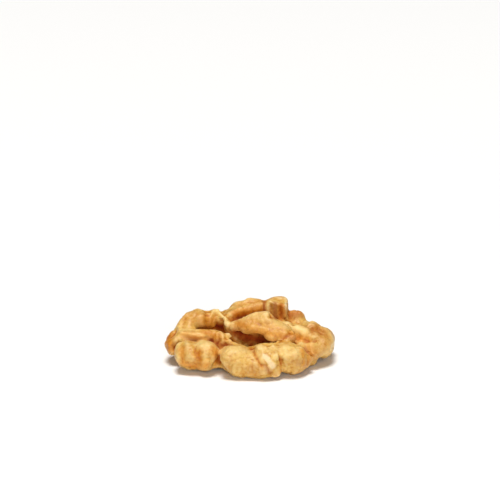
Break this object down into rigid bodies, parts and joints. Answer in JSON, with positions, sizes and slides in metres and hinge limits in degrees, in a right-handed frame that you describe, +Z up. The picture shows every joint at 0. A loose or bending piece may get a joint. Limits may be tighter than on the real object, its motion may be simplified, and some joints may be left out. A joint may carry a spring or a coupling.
{
  "type": "walnut kernel half",
  "caption": "Shelled walnut kernel half lying with its folded inner side up: plump knobs, a bridge fold over a cleft and a winding, creased back.",
  "frame": {"origin": "on the surface that the kernel lies on, under the middle of its box", "axes": "+X along the kernel's length, +Y from the near lobe to the far lobe, +Z up, out of the folded inner side"},
  "size_m": [0.031, 0.0226, 0.0096],
  "materials": {
    "kernel_skin": null
  },
  "bodies": {
    "root": {"kernel_half": "kernel_skin"}
  },
  "joints": []
}
